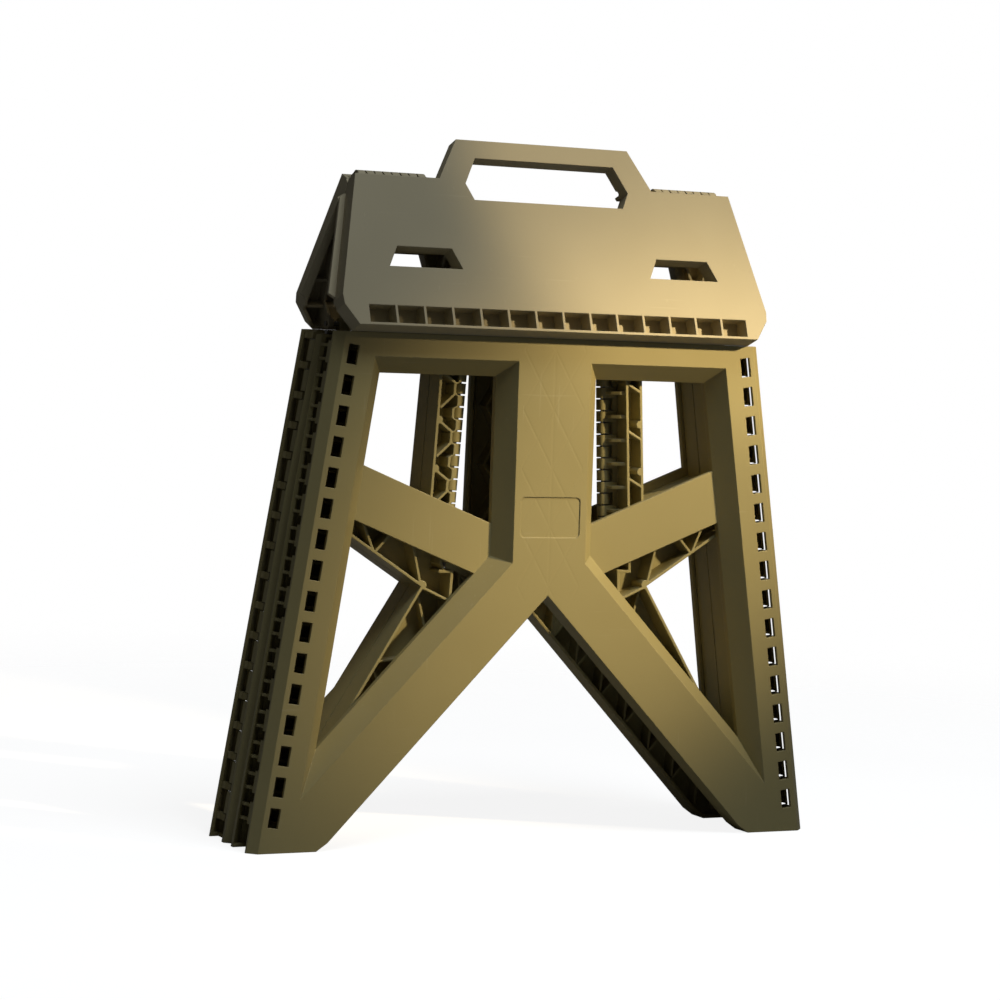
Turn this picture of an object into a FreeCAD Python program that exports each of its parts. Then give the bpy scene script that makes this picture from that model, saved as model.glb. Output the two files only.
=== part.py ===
import FreeCAD, Part
import os
from math import atan, cos, degrees, sin, sqrt

V = FreeCAD.Vector

# Folding step stool in its folded, carried state.
# Units are millimetres.  X runs across the stool, Y from front to back, Z up.
# The origin is on the floor in the middle of the folded stack.
# Every upright hinge line points at one common apex above the stool, so all
# shells can turn together like the ribs of a folded bag.

# ---- driving sizes ----
panel_height = 333.4          # floor to the top edge of a leg panel
apex_height = 1287.0          # height of the common apex of the hinge lines
side_slant = 0.1504           # sideways lean of the corner hinge lines
fold_lean = 0.01652           # front-to-back lean of the corner hinge lines
mid_slant = 0.0545            # sideways lean of the side-panel middle hinge
edge_to_axis = 13.3           # outer edge of a shell to its corner hinge line
panel_depth = 17.5            # front face of a leg panel to its hinge plane
edge_bevel = 6.0              # 45 degree bevel along the outer upright edges
face_thickness = 2.5
wall_thickness = 2.0
rib_thickness = 1.6
root = 1.0                    # how far a rib is sunk into the wall it stands on
leg_rib_back = 4.0            # hinge plane to the free edge of a leg panel's ribs
side_stock = 40.0             # deeper than a side half, which is trimmed at its rim
shell_gap = 0.5               # each shell stops this far from its hinge plane

pin_radius = 1.5
pin_running_clearance = 0.05
closing_joint_clearance = 0.6     # rear right corner, where the side loop closes
seam_joint_clearance = 1.6        # seat seam, where the seat loop closes

corner_pitch = 20.0           # knuckle pitch on the four corner hinges
corner_count = 16             # moulding holes down each outer rail
corner_first = 979.2          # apex to the first hole, along the hinge line
hole_width = 7.2
hole_height = 12.9
knuckle_radius = 4.4
corner_tab = 4.6              # thickness of a leg panel's knuckle tab
corner_barrel = 11.0          # length of a side half's knuckle
corner_pin_over = 15.0        # pin beyond the middles of its first and last hole
tab_room = 3.8                # outer edge to the knuckle tabs and plates
web_depth = 26.0              # hinge plane to the far edge of a side half's plates
leg_lip = 9.9                 # hinge plane to the rim of a leg panel's bevelled edge
side_lip = 10.9               # the same on a side half, which swings inside it
hinge_relief = 7.0            # room round the hinge line beyond the end knuckles
end_gap = 0.6
web_plate = 2.0               # plates and web that carry a side half's knuckle
guard_inner = 8.6             # curved wall that closes each hole, round the hinge line
guard_outer = 10.0
guard_start = -45.0           # its first edge, degrees from straight outboard
guard_sweep = 105.0
guard_gap = 0.7               # left between it and the leg panel's tabs

mid_pitch = 16.0
mid_knuckle = 7.0
mid_knuckle_radius = 4.4
mid_first = 966.0             # apex to the first middle knuckle
mid_count = 9
knuckle_arm = 8.0             # middle hinge line to the end of a knuckle's arm
mid_pin_over = 5.0            # pin beyond its first and last knuckle middles
wave_near = 7.0               # middle hinge line to the wavy wall beside its own knuckles
wave_far = 10.4               # and where it passes the other half's knuckles
wave_wall = 1.8
rung_wall_at = 10.5           # middle hinge line to the other half's straight wall

# leg panel openings
foot_inner = 161.0            # half distance between the feet
cut_height = 163.6            # top of the V-shaped cut between the feet
foot_chamfer = 8.0
column_half = 26.8
window_top = 317.9
rail_face = 23.0              # flat width of the outer rail's front
leg_corner = 185.0            # where the column turns into the sloping leg
window_foot_z = 33.0
bevel_inset = 10.5
bevel_depth = 13.0
brace_rise = 0.40
brace_height = 37.5
brace_base = 195.5
label_half = 22.0
label_low = 202.0
label_high = 228.7
label_recess = 0.6
label_corner = 3.0

# side half openings
side_top = 331.0
side_foot_inner = 178.0
side_cut_slope = 1.227
side_rail = 24.0              # corner hinge line to the outer rail's inner edge
mid_rail = 22.0               # middle hinge line to the rail's window edge
side_window_top = 308.0
side_brace_rise = 0.40
side_brace_low = 189.5        # brace's top edge, carried on to the middle
brace_under_rise = 0.64       # slope of the brace's lower edge
truss_corner_x = 84.4         # inner corner of the lower window
truss_corner_z = 168.5
leg_edge_slope = 1.62         # lower window's edge along the sloping leg
truss_rib_depth = 8.5         # hinge plane to the ribs of the sloping leg
truss_node = (118.0, 74.5, 31.0)      # heights where those ribs meet the window's wall
truss_high = (122.0, 79.6, 37.0)      # and where they meet the cut edge, above
truss_low = (92.0, 50.0, 9.0)         # and below
plate_to_mid = 6.0            # middle hinge line to the edge of the face plate
mid_foot = 179.5              # height where the middle hinge ends
foot_edge = 0.8               # middle hinge line to the edge below that height

# seat halves
seat_tilt = 0.346             # lean of a folded seat half, radians
seat_edge_y = 45.8            # lower edge of the seat face from the middle
seat_edge_z = 338.6
seat_depth_run = 103.0        # hinge edge to seam edge
seat_half_bottom = 146.8
seat_half_widest = 157.3
seat_half_seam = 139.0
seat_widest_at = 16.8
seat_skirt = 14.0
seat_side_depth = 16.0
seat_lip = 4.7
seat_axis_run = 8.0           # hinge edge to the hinge line
seat_axis_depth = 24.0        # seat face to the hinge line
seam_gap = 1.5                # seam edge to the seam hinge line
cell_pitch = 20.0
cell_count = 14
cell_width = 18.3
cell_low = 1.7
cell_high = 13.6
cell_back = 12.0              # seat face to the plate that closes the cells
cell_back_plate = 1.5
slot_top = (75.9, 114.9, 54.2)
slot_low = (69.4, 121.5, 40.3)
lug_radius = 4.0
lug_width = 7.0
lug_stem = 9.0                # leg panel's top edge down to the foot of a lug
seat_pin_over = 3.0           # pin beyond the outermost cell edges
roof_thickness = 3.0          # plate under the lugs
roof_depth = 15.0
roof_front = 11.2             # hinge line to the plate's front edge
roof_end = 8.0                # corner hinge line to the plate's end
seam_knuckle_radius = 4.9
seam_knuckle_width = 5.2
seam_pitch = 6.1
seam_knuckles = 8
seam_first = 88.5
seam_pin_over = 3.5
middle_gap = 0.6

# carrying handle
handle_base = 79.0
handle_top = 63.9
handle_rise = 28.3
handle_depth = 11.0
grip_window = ((55.2, -13.7), (60.5, -2.5), (51.5, 15.7))
notch_clearance = 2.5

apex = V(0, 0, apex_height)
slant_angle = degrees(atan(side_slant))
lean_angle = degrees(atan(fold_lean))
mid_angle = degrees(atan(mid_slant))
seam_axis_depth = (seat_edge_y - (seat_depth_run + seam_gap) * sin(seat_tilt)) / cos(seat_tilt)


def corner_x(z):
    """Distance of the corner hinge line from the middle at height z."""
    return side_slant * (apex_height - z)


def mid_x(z):
    """Distance of the side panel's middle hinge line from the centre."""
    return mid_slant * (apex_height - z)


def face_from(points, y):
    """Planar face in the XZ plane at depth y."""
    loop = [V(x, y, z) for x, z in points]
    return Part.Face(Part.makePolygon(loop + [loop[0]]))


def slab(points, y0, y1):
    """Extrude an XZ outline from depth y0 to depth y1."""
    return face_from(points, y0).extrude(V(0, y1 - y0, 0))


def inset(points, distances):
    """Move every edge of a polygon inward (anticlockwise outline)."""
    count = len(points)
    if not isinstance(distances, (list, tuple)):
        distances = [distances] * count
    lines = []
    for i in range(count):
        x0, z0 = points[i]
        x1, z1 = points[(i + 1) % count]
        length = sqrt((x1 - x0) ** 2 + (z1 - z0) ** 2)
        nx = -(z1 - z0) / length
        nz = (x1 - x0) / length
        px = x0 + nx * distances[i]
        pz = z0 + nz * distances[i]
        lines.append((px, pz, x1 - x0, z1 - z0))
    result = []
    for i in range(count):
        ax, az, adx, adz = lines[i - 1]
        bx, bz, bdx, bdz = lines[i]
        cross = adx * bdz - adz * bdx
        step = ((bx - ax) * bdz - (bz - az) * bdx) / cross
        result.append((ax + adx * step, az + adz * step))
    return result


def funnel(outer, y0, inner, y1):
    """Solid between two outlines with the same number of corners."""
    wires = []
    for points, y in ((outer, y0), (inner, y1)):
        loop = [V(x, y, z) for x, z in points]
        wires.append(Part.makePolygon(loop + [loop[0]]))
    return Part.makeLoft(wires, True, True)


def bar(start, end, thickness, y0, y1):
    """Straight rib between two XZ points."""
    dx = end[0] - start[0]
    dz = end[1] - start[1]
    length = sqrt(dx * dx + dz * dz)
    nx = -dz / length * thickness / 2
    nz = dx / length * thickness / 2
    corners = [(start[0] + nx, start[1] + nz), (start[0] - nx, start[1] - nz),
               (end[0] - nx, end[1] - nz), (end[0] + nx, end[1] + nz)]
    return slab(corners, y0, y1)


def boss(x, z, radius, y0, y1):
    """Short round post along Y."""
    return Part.makeCylinder(radius, y1 - y0, V(x, y0, z), V(0, 1, 0))


def join(shapes):
    """Fuse a list of shapes into one clean shape."""
    shapes = [s for s in shapes if s is not None]
    return shapes[0].multiFuse(shapes[1:]).removeSplitter()


def mirrored(shape):
    """Left-hand copy of a right-hand shape."""
    return shape.mirror(V(0, 0, 0), V(1, 0, 0))


def both_sides(shapes):
    """Right-hand shapes together with their left-hand copies."""
    return shapes + [mirrored(s) for s in shapes]


def turned_half(shape):
    """Copy turned half a turn about the upright axis."""
    result = shape.copy()
    result.rotate(V(0, 0, 0), V(0, 0, 1), 180)
    return result


def leaned(shape):
    """Tip a front shell from its flat frame into the folded stack."""
    result = shape.copy()
    result.rotate(apex, V(1, 0, 0), -lean_angle)
    return result


def slanted(shape, angle):
    """Swing a shape built on the upright line through the apex to a hinge line."""
    result = shape.copy()
    result.rotate(apex, V(0, 1, 0), -angle)
    return result


def along(distance, length, radius, angle):
    """Cylinder on a hinge line, its middle at a distance from the apex."""
    base = V(0, 0, apex_height - distance - length / 2)
    return slanted(Part.makeCylinder(radius, length, base, V(0, 0, 1)), angle)


def cross_plate(points, distance, thickness, angle):
    """Plate square to a hinge line; points are (across, depth)."""
    z0 = apex_height - distance - thickness / 2
    loop = [V(x, y, z0) for x, y in points]
    plate = Part.Face(Part.makePolygon(loop + [loop[0]])).extrude(V(0, 0, thickness))
    return slanted(plate, angle)


def floor_cut():
    """Everything below the floor."""
    return Part.makeBox(600, 400, 60, V(-300, -200, -60))


def clean_shell(parts, cuts, label):
    """Fuse the parts, take the cuts away and keep the one connected solid."""
    shape = join(parts)
    if cuts:
        shape = shape.cut(cuts)
    solids = sorted(shape.Solids, key=lambda s: s.Volume)
    kept = solids[-1]
    lost = sum(s.Volume for s in solids[:-1])
    print(label, "solids", len(solids), "volume", round(kept.Volume), "dropped", round(lost, 2))
    return kept


def outer_edge(z):
    """Outermost point of a shell at height z."""
    return corner_x(z) + edge_to_axis


def edge_wedge(y_face, y_step, inward, z0, z1):
    """Prism that takes the bevel off the right-hand upright edge.

    y_step is the direction from the face into the shell; inward moves the
    bevel plane into the shell, which leaves a lip of that thickness.
    """
    far = 30.0
    reach = edge_bevel + inward * sqrt(2)
    x0 = outer_edge(z0)
    loop = [V(x0 - reach - far, y_face - y_step * far, z0),
            V(x0 + far, y_face - y_step * far, z0),
            V(x0 + far, y_face + y_step * (reach + far), z0)]
    face = Part.Face(Part.makePolygon(loop + [loop[0]]))
    return face.extrude(V(outer_edge(z1) - outer_edge(z0), 0, z1 - z0))


def lip_trim(y0, y1):
    """Prism along the right-hand upright edge, between two depths."""
    low_z = -5
    high_z = panel_height + 5
    inner = edge_bevel
    return slab([(outer_edge(low_z) - inner, low_z), (outer_edge(low_z) + 5, low_z),
                 (outer_edge(high_z) + 5, high_z), (outer_edge(high_z) - inner, high_z)], y0, y1)


# ---- leg panels ----

def leg_outline():
    """Outline of a leg panel, anticlockwise seen from the front."""
    top = panel_height
    right = [(foot_inner, 0), (outer_edge(0), 0), (outer_edge(top), top)]
    left = [(-x, z) for x, z in reversed(right)]
    step = cut_height / foot_inner * foot_chamfer * 0.6
    inner = [(-(foot_inner - foot_chamfer), step), (0, cut_height), (foot_inner - foot_chamfer, step)]
    return right + left + inner


def leg_window():
    """Front outline of the right-hand opening of a leg panel."""
    top_x = corner_x(window_top) + edge_to_axis - edge_bevel - rail_face
    low_x = corner_x(window_foot_z) + edge_to_axis - edge_bevel - rail_face
    return [(column_half, leg_corner), (low_x, window_foot_z),
            (top_x, window_top), (column_half, window_top)]


def brace_outline():
    """Outline of the sloping brace across the right-hand opening."""
    x0 = column_half + 4
    reach = edge_to_axis - edge_bevel - rail_face - bevel_inset + 1.5
    ends = []
    for base in (brace_base - brace_height, brace_base):
        x = (side_slant * (apex_height - base) + reach) / (1 + side_slant * brace_rise)
        ends.append((x, base + brace_rise * x))
    high0 = brace_base + brace_rise * x0
    return [(x0, high0 - brace_height), ends[0], ends[1], (x0, high0)]


def hole_cuts():
    """Row of moulding holes down the right-hand outer rail."""
    cuts = []
    for i in range(corner_count):
        z = apex_height - corner_first - i * corner_pitch
        box = Part.makeBox(hole_width, face_thickness + 2, hole_height,
                           V(-hole_width / 2, -panel_depth - 1, z - hole_height / 2))
        cuts.append(slanted(box, slant_angle))
    return cuts


def corner_tabs():
    """Cross plates of the right-hand rail that carry the corner pin."""
    lip = edge_to_axis - tab_room
    window_edge = edge_to_axis - edge_bevel - rail_face
    bevel_y = -panel_depth + bevel_depth
    outline = [(window_edge + 1.5, -panel_depth + 1), (lip - 3, -panel_depth + 1),
               (lip + 1.6, -10.6), (lip - 0.6, -9.0), (lip - 0.6, -shell_gap),
               (window_edge - bevel_inset + 1.2, -shell_gap),
               (window_edge - bevel_inset + 1.2, bevel_y)]
    shapes = []
    for i in range(corner_count + 1):
        distance = corner_first - corner_pitch / 2 + i * corner_pitch
        shapes.append(cross_plate(outline, distance, corner_tab, slant_angle))
        shapes.append(along(distance, corner_tab, knuckle_radius, slant_angle))
    return shapes


def leg_ribs():
    """Stiffening ribs behind a leg panel's face, right-hand half."""
    y0 = -panel_depth + root
    y1 = -leg_rib_back
    ribs = []
    top_z = window_top + 8
    low_z = cut_height + 6
    x = column_half - 4
    levels = [low_z + (top_z - low_z) * i / 4 for i in range(5)]
    for i in range(4):
        ribs.append(bar((0, levels[i]), (x, levels[i + 1]), rib_thickness, y0, y1))
        ribs.append(bar((x, levels[i]), (0, levels[i + 1]), rib_thickness, y0, y1))
    rail_x = corner_x(window_top) - guard_outer - 4
    ribs.append(bar((0, panel_height - 8), (rail_x, panel_height - 8), rib_thickness, y0, y1))
    for i in range(6):
        px = column_half + 8 + i * (rail_x - column_half - 16) / 5
        ribs.append(bar((px, window_top - 2), (px, panel_height - 1), rib_thickness, y0, y1))
    slope = (cut_height - 4) / foot_inner
    for i in range(7):
        t = 0.10 + i * 0.125
        px = foot_inner * t
        pz = cut_height - slope * px
        ribs.append(bar((px - 2, pz), (px + 22, pz + 26), rib_thickness, y0, y1))
        ribs.append(bar((px + 22, pz + 26), (px + 18, pz - 18), rib_thickness, y0, y1))
    ribs.append(boss(0, label_low - 14, 4.0, y0, y1))
    ribs.append(boss(0, label_high + 22, 4.0, y0, y1))
    return ribs


def seat_lugs():
    """Lugs on a leg panel's top edge that carry its seat half, in the folded frame."""
    y_axis, z_axis = seat_axis()
    lugs = []
    for i in range(cell_count):
        x = (i - (cell_count - 1) / 2) * cell_pitch
        x0 = x - lug_width / 2
        stem = Part.makeBox(lug_width, 2 * lug_radius - root, z_axis - panel_height + lug_stem,
                            V(x0, y_axis - lug_radius + root, panel_height - lug_stem))
        lugs.append(stem)
        lugs.append(Part.makeCylinder(lug_radius, lug_width, V(x0, y_axis, z_axis), V(1, 0, 0)))
    return lugs


def seat_axis():
    """Position (y, z) of the front seat half's hinge line on the leg panel."""
    y = -seat_edge_y + seat_axis_run * sin(seat_tilt) + seat_axis_depth * cos(seat_tilt)
    z = seat_edge_z + seat_axis_run * cos(seat_tilt) - seat_axis_depth * sin(seat_tilt)
    return y, z


def pin_hole_line(distance0, distance1, radius, angle):
    """Cutter along a hinge line between two distances from the apex."""
    middle = (distance0 + distance1) / 2
    return along(middle, distance1 - distance0, radius, angle)


def leg_panel():
    """Front leg panel in its folded place."""
    outline = leg_outline()
    low = [(x, z - 0.6 if z == 0 else z) for x, z in outline]
    block = slab(low, -panel_depth, -shell_gap)
    edges = [wall_thickness] * len(outline)
    edges[1] = -2.0
    edges[3] = -2.0
    cavity = slab(inset(outline, edges), -panel_depth + face_thickness, 1)
    wedge = edge_wedge(-panel_depth, 1, 0, -5, panel_height + 5)
    inner_wedge = edge_wedge(-panel_depth, 1, face_thickness, -5, panel_height + 5)
    window = leg_window()
    inner = inset(window, bevel_inset)
    collar_out = inset(window, -wall_thickness * 1.3)
    collar_in = inset(inner, -wall_thickness * 1.3)
    bevel_y = -panel_depth + bevel_depth
    opening = [funnel(window, -panel_depth - 0.001, inner, bevel_y),
               slab(inner, bevel_y - 0.01, 1)]
    collar = [funnel(collar_out, -panel_depth, collar_in, bevel_y),
              slab(collar_in, bevel_y, -shell_gap)]
    hollow = cavity.cut(both_sides([inner_wedge] + collar))
    shell = block.cut([hollow] + both_sides([wedge]))
    brace = [slab(brace_outline(), bevel_y, -shell_gap)]
    shell = shell.cut(both_sides(opening + [lip_trim(-leg_lip, 1)]))
    ribs = []
    for rib in both_sides(leg_ribs()):
        ribs.append(rib.common(block).cut(both_sides(opening)))
    ribs = [r for r in ribs if r.Volume > 1]
    tabs = both_sides(corner_tabs())
    label = Part.makeBox(2 * label_half, 1 + label_recess, label_high - label_low,
                         V(-label_half, -panel_depth - 1, label_low))
    upright = [e for e in label.Edges if abs(e.tangentAt(e.FirstParameter).y) > 0.9]
    label = label.makeFillet(label_corner, upright)
    bores = [pin_hole_line(900, 1330, pin_radius, slant_angle)]
    cuts = both_sides(hole_cuts() + bores) + [label]
    flat = join([shell] + both_sides(brace) + ribs + tabs).cut(cuts)
    panel = leaned(flat)
    y_axis, z_axis = seat_axis()
    seat_bore = Part.makeCylinder(pin_radius, 400, V(-200, y_axis, z_axis), V(1, 0, 0))
    roof_half = corner_x(panel_height) - roof_end
    roof = Part.makeBox(2 * roof_half, roof_depth, roof_thickness,
                        V(-roof_half, y_axis - roof_front, panel_height - roof_thickness - 0.2))
    return clean_shell([panel, roof] + seat_lugs(), [floor_cut(), seat_bore], "leg panel")


# ---- side halves ----

def side_outline():
    """Outline of a front side half on the right, anticlockwise."""
    knee_z = (side_foot_inner - foot_edge - mid_slant * apex_height) / (1 / side_cut_slope - mid_slant)
    top = side_top
    return [(side_foot_inner + 3, 0), (outer_edge(0), 0), (outer_edge(top), top),
            (mid_x(top) + plate_to_mid, top), (mid_x(mid_foot) + plate_to_mid, mid_foot),
            (mid_x(mid_foot) + foot_edge, mid_foot), cut_edge(knee_z), cut_edge(3.5)]


def cut_edge(z):
    """Point at height z on a side half's edge between the feet."""
    return side_foot_inner - z / side_cut_slope, z


def leg_edge(z):
    """Point at height z on the lower window's edge along the sloping leg."""
    return truss_corner_x + (truss_corner_z - z) / leg_edge_slope, z


def rail_meets(rise, base):
    """Where a line z = base + rise * x meets the outer rail's inner edge."""
    x = (side_slant * (apex_height - base) - side_rail) / (1 + side_slant * rise)
    return x, base + rise * x


def side_windows():
    """Upper and lower window outlines of a side half."""
    top = side_window_top
    x0 = (mid_rail + mid_slant * (apex_height - side_brace_low)) / (1 + mid_slant * side_brace_rise)
    upper = [(x0, side_brace_low + side_brace_rise * x0), rail_meets(side_brace_rise, side_brace_low),
             (corner_x(top) - side_rail, top), (mid_x(top) + mid_rail, top)]
    corner = (truss_corner_x, truss_corner_z)
    under_base = truss_corner_z - brace_under_rise * truss_corner_x
    rail_inner = side_slant * apex_height - side_rail
    foot_z = (truss_corner_x + truss_corner_z / leg_edge_slope - rail_inner) / (1 / leg_edge_slope - side_slant)
    lower = [corner, leg_edge(foot_z), rail_meets(brace_under_rise, under_base)]
    return upper, lower


def side_rib_set(zigzag):
    """Small ribs and posts behind a side half's face."""
    y0 = -side_stock
    y1 = -face_thickness
    ribs = []
    for i in range(3):
        z = side_window_top + 2 - i * 2 * mid_pitch
        edge = mid_x(z) + mid_rail - 1
        wall = mid_x(z) + 10
        if zigzag:
            ribs.append(bar((edge, z), (wall, z - 8), rib_thickness, y0, y1))
            ribs.append(bar((wall, z - 14), (edge, z - 24), rib_thickness, y0, y1))
        else:
            ribs.append(bar((wall, z - 4), (edge, z - 10), rib_thickness, y0, y1))
        ribs.append(boss(edge - 1, z, 2.6, y0, y1))
    corner = (truss_corner_x, truss_corner_z)
    ribs.append(bar((62.5, 158.6), corner, rib_thickness, y0, y1))
    ribs.append(bar(corner, (97.6, 224.0), rib_thickness, y0, y1))
    ribs.append(bar((118.5, 190.5), (88.5, 224.0), rib_thickness, y0, y1))
    ribs.append(bar((118.5, 190.5), (142.0, 245.0), rib_thickness, y0, y1))
    ribs.append(boss(truss_corner_x - 1, truss_corner_z + 1, 3.0, y0, y1))
    for i in range(4):
        x = mid_x(side_top) + 14 + i * 18
        ribs.append(bar((x, side_window_top - 1), (x + 9, side_top), rib_thickness, y0, y1))
        ribs.append(bar((x + 9, side_top), (x + 18, side_window_top - 1), rib_thickness, y0, y1))
    return ribs


def truss_ribs():
    """Deeper ribs that zigzag down the sloping leg of a side half."""
    y0 = -side_stock
    y1 = -face_thickness
    ribs = [bar((truss_corner_x, truss_corner_z), cut_edge(128.0), rib_thickness, y0, y1)]
    for node, high, low in zip(truss_node, truss_high, truss_low):
        ribs.append(bar(leg_edge(node), cut_edge(high), rib_thickness, y0, y1))
        ribs.append(bar(leg_edge(node), cut_edge(low), rib_thickness, y0, y1))
    ribs.append(boss(90.6, 120.0, 3.0, y0, y1))
    return [rib.cut(rim_cut(truss_rib_depth)) for rib in ribs]


def wavy_wall():
    """Wall that winds past the middle knuckles."""
    path = []
    half = mid_pitch / 4 - 1
    for i in range(mid_count):
        z = apex_height - (mid_first + i * mid_pitch) * cos(atan(mid_slant))
        path.append((mid_x(z + half) + wave_near, z + half))
        path.append((mid_x(z - half) + wave_near, z - half))
        z -= mid_pitch / 2
        path.append((mid_x(z + half) + wave_far, z + half))
        path.append((mid_x(z - half) + wave_far, z - half))
    path.insert(0, (mid_x(side_top) + wave_near, side_top))
    path.append((mid_x(mid_foot) + wave_near, mid_foot - 1))
    left = [(x - wave_wall / 2, z) for x, z in path]
    right = [(x + wave_wall / 2, z) for x, z in reversed(path)]
    return slab(left + right, -side_stock, -face_thickness)


def rung_wall():
    """Straight wall beside the middle knuckles."""
    low_end = (mid_x(mid_foot) + rung_wall_at, mid_foot - 1)
    high_end = (mid_x(side_top) + rung_wall_at, side_top)
    return bar(low_end, high_end, wave_wall, -side_stock, -face_thickness)


def hinge_ledge():
    """Wall that closes a side half below its last middle knuckle."""
    z = mid_foot - wall_thickness / 2
    x = mid_x(mid_foot)
    end = x + rung_wall_at + root
    return bar((x + foot_edge, z), (end, z), wall_thickness, -side_stock, -face_thickness)


def mid_knuckles(first, rungs):
    """Middle hinge knuckles with the arms that carry them."""
    shapes = []
    for i in range(mid_count):
        distance = first + i * mid_pitch
        shapes.append(along(distance, mid_knuckle, mid_knuckle_radius, mid_angle))
        arm = [(0, -mid_knuckle_radius), (knuckle_arm, -mid_knuckle_radius),
               (knuckle_arm, -shell_gap), (0, -shell_gap)]
        shapes.append(cross_plate(arm, distance, mid_knuckle, mid_angle))
        if rungs:
            hook = [(11, -14.5), (6.5, -13), (2, -8.5), (0, -4), (3, -shell_gap), (11, -shell_gap)]
            shapes.append(cross_plate(hook, distance, 2.2, mid_angle))
    return shapes


def corner_barrels():
    """Corner hinge knuckles of a side half: barrel and web."""
    shapes = []
    for i in range(corner_count):
        distance = corner_first + i * corner_pitch
        shapes.append(along(distance, corner_barrel, knuckle_radius, slant_angle))
    return [leaned(s) for s in shapes]


def corner_webs():
    """Paired plates and a web behind each corner knuckle of a side half."""
    lip = edge_to_axis - tab_room
    outline = [(lip - 0.8, 0), (lip - 0.8, 9.0), (lip + 1.4, 10.6), (lip + 1.4, web_depth),
               (-side_rail + root, web_depth), (-side_rail + root, 0)]
    half = web_plate / 2
    web = [(-half, 0), (half, 0), (half, web_depth), (-half, web_depth)]
    shapes = []
    for i in range(corner_count):
        distance = corner_first + i * corner_pitch
        for side in (-1, 1):
            plate_at = distance + side * (corner_barrel - web_plate) / 2
            shapes.append(cross_plate(outline, plate_at, web_plate, slant_angle))
        shapes.append(cross_plate(web, distance, corner_barrel, slant_angle))
    return [leaned(s) for s in shapes]


def corner_guards():
    """Curved walls round the hinge line that close the holes from behind."""
    length = corner_pitch - corner_tab - 2 * guard_gap
    shapes = []
    for i in range(corner_count):
        base = V(0, 0, apex_height - corner_first - i * corner_pitch - length / 2)
        wedge = Part.makeCylinder(guard_outer, length, base, V(0, 0, 1), guard_sweep)
        guard = wedge.cut(Part.makeCylinder(guard_inner, length, base, V(0, 0, 1)))
        guard.rotate(base, V(0, 0, 1), guard_start)
        shapes.append(leaned(slanted(guard, slant_angle)))
    return shapes


def end_relief():
    """Room round the corner hinge line beyond its end knuckles."""
    section = [(-hinge_relief, -1), (30, -1), (30, side_lip), (-hinge_relief, side_lip)]
    top = corner_first - corner_barrel / 2 - end_gap
    low = corner_first + corner_pitch * (corner_count - 1) + corner_barrel / 2 + end_gap
    cuts = []
    for near in (top - 40, low):
        cuts.append(leaned(cross_plate(section, near + 20, 40, slant_angle)))
    return cuts


def rim_cut(depth):
    """Everything of a front side half up to a depth behind the hinge plane."""
    box = Part.makeBox(600, 100, 420, V(-300, -100 + depth, -40))
    return leaned(box)


def side_half(rungs, label):
    """Front side half on the right-hand side, without its pin bores."""
    outline = side_outline()
    low = [(x, z - 0.6 if z == 0 else z) for x, z in outline]
    block = slab(low, -side_stock, -shell_gap)
    block = block.cut([rim_cut(shell_gap), edge_wedge(-shell_gap, -1, 0, -5, side_top + 5)])
    edges = [wall_thickness] * len(outline)
    edges[1] = -2.0
    edges[3] = -2.0
    cavity = slab(inset(outline, edges), -side_stock - 5, -shell_gap - face_thickness)
    upper, lower = side_windows()
    collars = [slab(inset(w, -wave_wall), -side_stock - 5, -shell_gap) for w in (upper, lower)]
    openings = [slab(w, -side_stock - 5, 1) for w in (upper, lower)]
    keep = [edge_wedge(-shell_gap, -1, face_thickness, -5, side_top + 5)] + collars
    shell = block.cut([cavity.cut(keep), leaned(lip_trim(-1, side_lip))])
    wall = rung_wall() if rungs else wavy_wall()
    first = mid_first + (mid_pitch / 2 if rungs else 0)
    ribs = side_rib_set(not rungs) + truss_ribs()
    inner = join(ribs + [wall, hinge_ledge()] + corner_webs()).common(block)
    fitted = join([shell, inner]).cut(openings + end_relief())
    knuckles = corner_barrels() + corner_guards() + mid_knuckles(first, rungs)
    return clean_shell([fitted] + knuckles, [floor_cut()], label)


def bored(shape, corner_radius, mid_radius):
    """Side half with its two pin bores."""
    corner_bore = leaned(pin_hole_line(900, 1330, corner_radius, slant_angle))
    mid_bore = pin_hole_line(mid_first - 26, mid_pin_end() + 1, mid_radius, mid_angle)
    return shape.cut([corner_bore, mid_bore])


# ---- seat halves ----

def seated(shape):
    """Place a shape from the seat frame (X, depth, run) into the folded stack."""
    result = shape.copy()
    result.rotate(V(0, 0, 0), V(1, 0, 0), -degrees(seat_tilt))
    result.translate(V(0, -seat_edge_y, seat_edge_z))
    return result


def seat_outline():
    """Outline of a seat half's face, anticlockwise."""
    s = seat_depth_run
    right = [(seat_half_bottom, 0), (seat_half_widest - 1.5, seat_widest_at - 3.5),
             (seat_half_widest - 0.8, seat_widest_at + 3), (seat_half_seam, s)]
    return right + [(-x, u) for x, u in reversed(right)]


def slot_outline():
    """Right-hand trapezoid slot in the seat face."""
    return [(slot_low[0], slot_low[2]), (slot_low[1], slot_low[2]),
            (slot_top[1], slot_top[2]), (slot_top[0], slot_top[2])]


def handle_outline(grow):
    """Outline of the carrying handle beyond the seam edge."""
    s = seat_depth_run
    base = handle_base + grow
    top = handle_top + grow
    return [(base, s - 6), (base, s), (top, s + handle_rise + grow),
            (-top, s + handle_rise + grow), (-base, s), (-base, s - 6)]


def grip_outline():
    """Hand opening in the carrying handle."""
    s = seat_depth_run
    right = [(x, s + rise) for x, rise in grip_window]
    left = [(-x, u) for x, u in reversed(right)]
    return right + left


def notch_outline():
    """Recess in the rear seat half that takes the folded-flat handle."""
    s = seat_depth_run
    reach = handle_rise + notch_clearance - 2 * seam_gap
    wide = handle_base + notch_clearance
    narrow = handle_top + notch_clearance
    return [(-narrow, s - reach), (narrow, s - reach), (wide, s), (wide, s + 20), (-wide, s + 20), (-wide, s)]


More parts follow.
